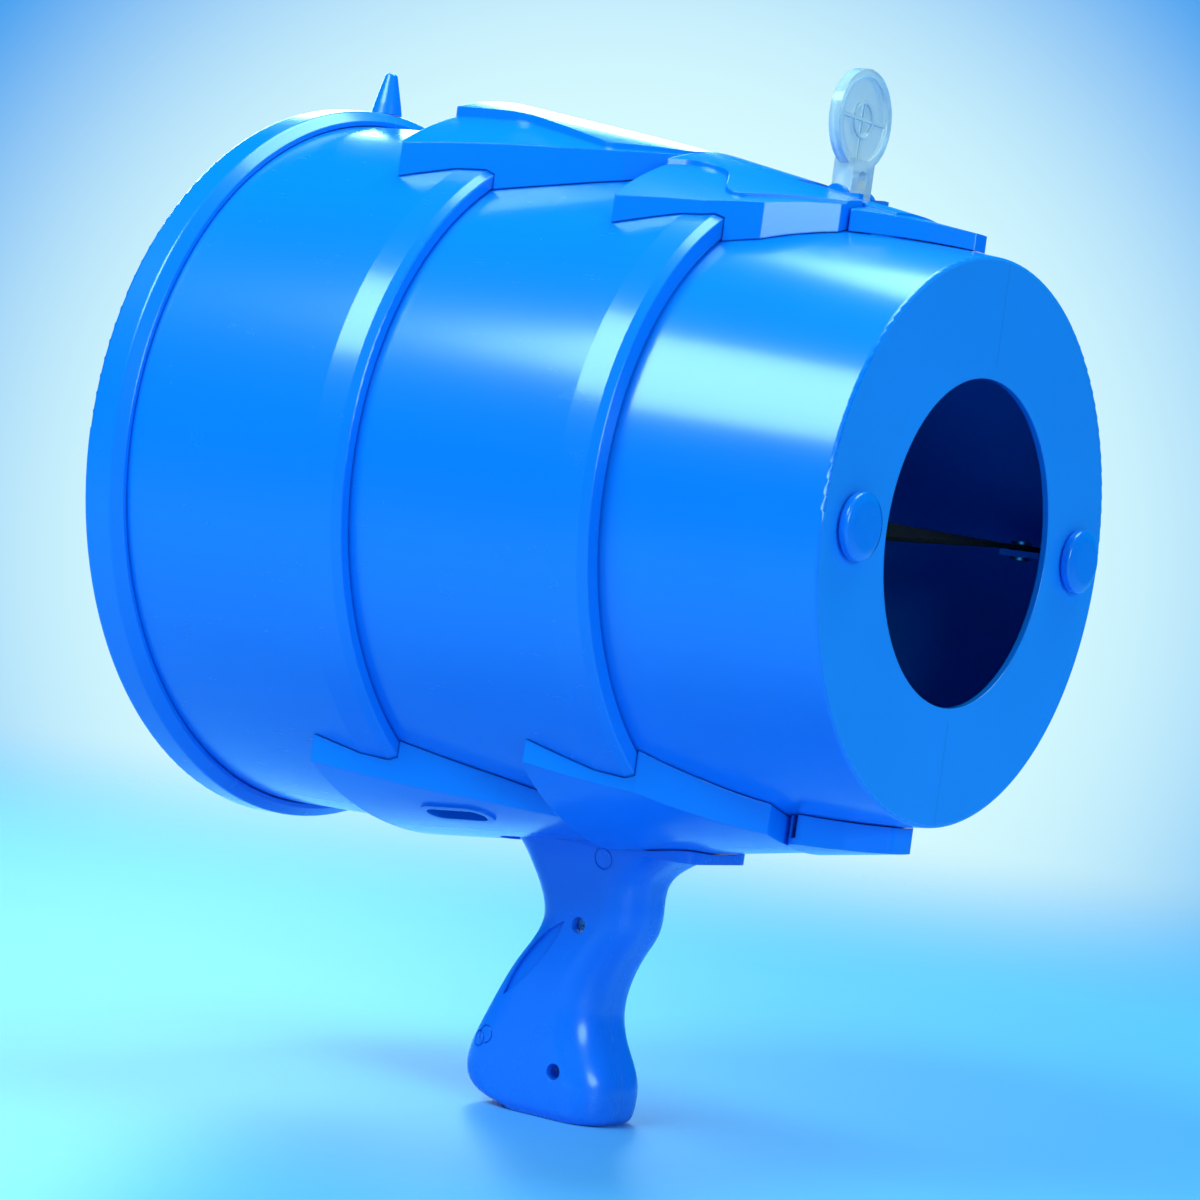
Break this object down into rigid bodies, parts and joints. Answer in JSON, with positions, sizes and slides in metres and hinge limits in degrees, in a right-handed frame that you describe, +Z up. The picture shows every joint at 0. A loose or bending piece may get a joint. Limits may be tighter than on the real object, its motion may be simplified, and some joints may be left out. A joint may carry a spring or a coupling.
{
  "type": "air vortex launcher",
  "caption": "Hand-held air launcher: stepped round barrel with a round muzzle, an elastic-drawn rear membrane with a pull knob, a pistol grip, locking blocks, a flip-up sight and a rear post.",
  "frame": {"origin": "on the floor under the middle of the object's box, at the foot of the grip", "axes": "+X points out of the muzzle along the barrel, +Z is up, +Y is to the left seen from behind"},
  "size_m": [0.2832, 0.2658, 0.3767],
  "materials": {
    "blue_body": "glossy injection-moulded plastic",
    "blue_front": "glossy injection-moulded plastic with a satin face",
    "blue_grip": "satin injection-moulded plastic",
    "blue_dark": "satin plastic",
    "screw_steel": "plated",
    "membrane_skin": "thin soft sheet",
    "strap_black": "woven elastic webbing",
    "clear_sight": "clear moulded plastic"
  },
  "bodies": {
    "launcher": {"front_barrel": "blue_front", "mid_barrel": "blue_body", "rear_barrel": "blue_body", "rear_rim": "blue_body", "rim_screws": "screw_steel", "membrane_clamp_ring": "blue_body", "membrane": "membrane_skin", "peg_left": "blue_body", "peg_right": "blue_body", "peg_washers": "screw_steel", "strap_left": "strap_black", "strap_right": "strap_black", "strap_front_rivets": "screw_steel", "top_rear_block": "blue_body", "top_mid_block": "blue_body", "top_front_block": "blue_body", "bottom_rear_block": "blue_body", "bottom_mid_block": "blue_body", "bottom_front_block": "blue_body", "block_rivets": "blue_dark", "grip_left": "blue_grip", "grip_right": "blue_grip", "grip_screws": "screw_steel", "grip_mount_screws": "screw_steel", "sight_pin": "screw_steel", "rear_sight": "blue_body"},
    "pull_hub": {"hub_plate": "blue_body", "pull_knob": "blue_body", "hub_screw": "screw_steel", "strap_rear_rivets": "screw_steel"},
    "flip_sight": {"sight": "clear_sight"}
  },
  "joints": [
    {"name": "knob_pull", "type": "slide", "parent": "launcher", "child": "pull_hub", "axis": [-1, 0, 0], "range_m": [0, 0.15], "stiffness_N_per_m": 160, "deforming": ["membrane", "strap_left", "strap_right"]},
    {"name": "sight_flip", "type": "hinge", "parent": "launcher", "child": "flip_sight", "pos_m": [0.0719, 0, 0.331], "axis": [0, 1, 0], "range_deg": [0, 70]}
  ]
}
